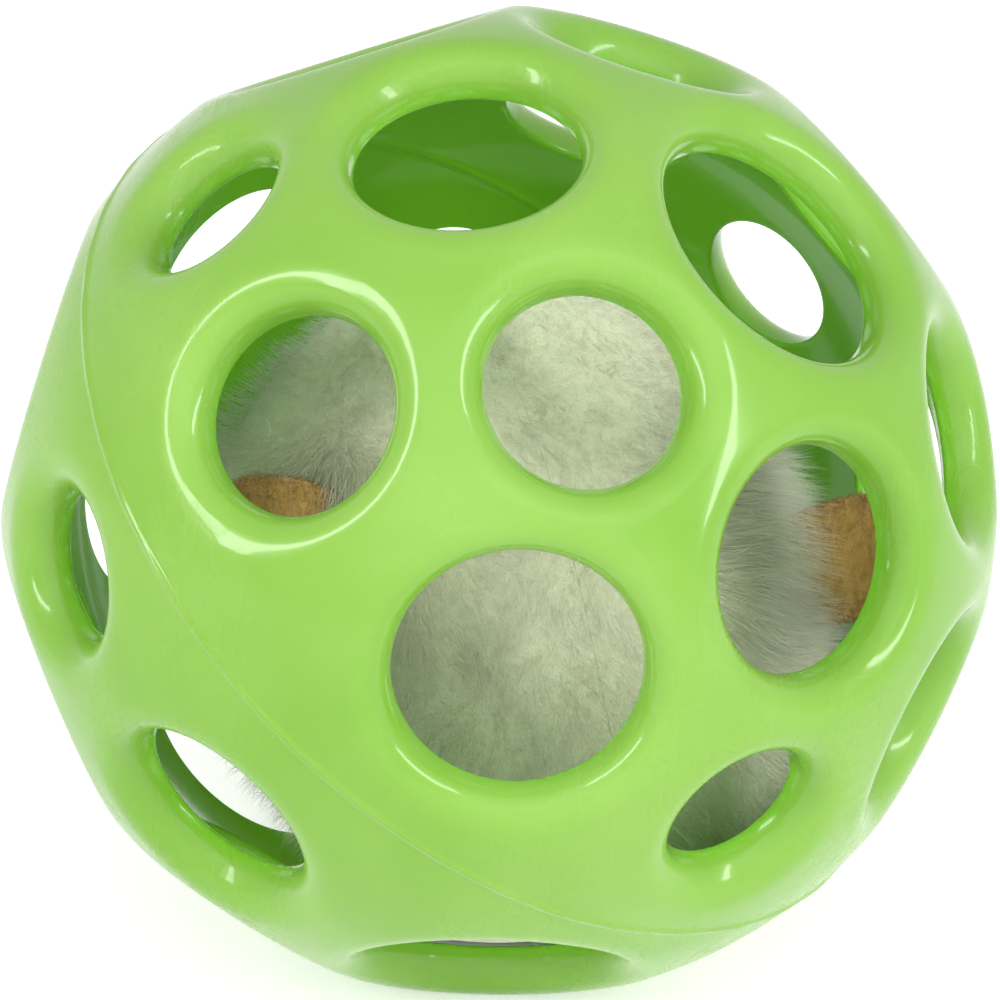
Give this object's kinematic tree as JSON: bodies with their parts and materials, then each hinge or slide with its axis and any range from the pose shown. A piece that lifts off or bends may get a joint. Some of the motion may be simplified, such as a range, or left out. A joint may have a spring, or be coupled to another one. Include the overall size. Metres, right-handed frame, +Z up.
{
  "type": "cat toy ball",
  "caption": "Hollow rubber ball with round holes all over and a furry toy mouse trapped loosely inside it.",
  "frame": {"origin": "middle of the part's box on the floor, under the ball's middle", "axes": "+Z up from the lip that the ball stands on; -Y is the side that faces the viewer, +X to the viewer's right; the mould's pole leans up, to the right and forward"},
  "size_m": [0.0898, 0.0888, 0.0875],
  "materials": {
    "ball_rubber": "glossy moulded thermoplastic rubber, slightly waxy",
    "fur": "long soft off-white pile on a knitted back",
    "wadding": "loose polyester wadding",
    "suede_felt": "fuzzy tan suede felt",
    "bead": "glossy black bead"
  },
  "bodies": {
    "ball": {"upper_shell_half": "ball_rubber", "lower_shell_half": "ball_rubber"},
    "mouse": {"mouse_left_skin": "fur", "mouse_right_skin": "fur", "mouse_belly_skin": "fur", "mouse_stuffing": "wadding", "tail": "suede_felt", "left_eye": "bead", "right_eye": "bead", "nose": "bead"},
    "left_ear_flap": {"left_ear": "suede_felt"},
    "right_ear_flap": {"right_ear": "suede_felt"}
  },
  "joints": [
    {"name": "mouse_tumble", "type": "hinge", "parent": "ball", "child": "mouse", "pos_m": [-0.00005, -0.00053, 0.04262], "axis": [0, 1, 0], "continuous": true},
    {"name": "left_ear_flex", "type": "hinge", "parent": "mouse", "child": "left_ear_flap", "pos_m": [-0.01499, -0.02036, 0.04888], "axis": [-0.1908, 0, 0.9816], "range_deg": [-15, 15], "stiffness_Nm_per_rad": 0.004},
    {"name": "right_ear_flex", "type": "hinge", "parent": "mouse", "child": "right_ear_flap", "pos_m": [0.02474, -0.00481, 0.03878], "axis": [-0.1908, 0, 0.9816], "range_deg": [-15, 15], "stiffness_Nm_per_rad": 0.004}
  ]
}
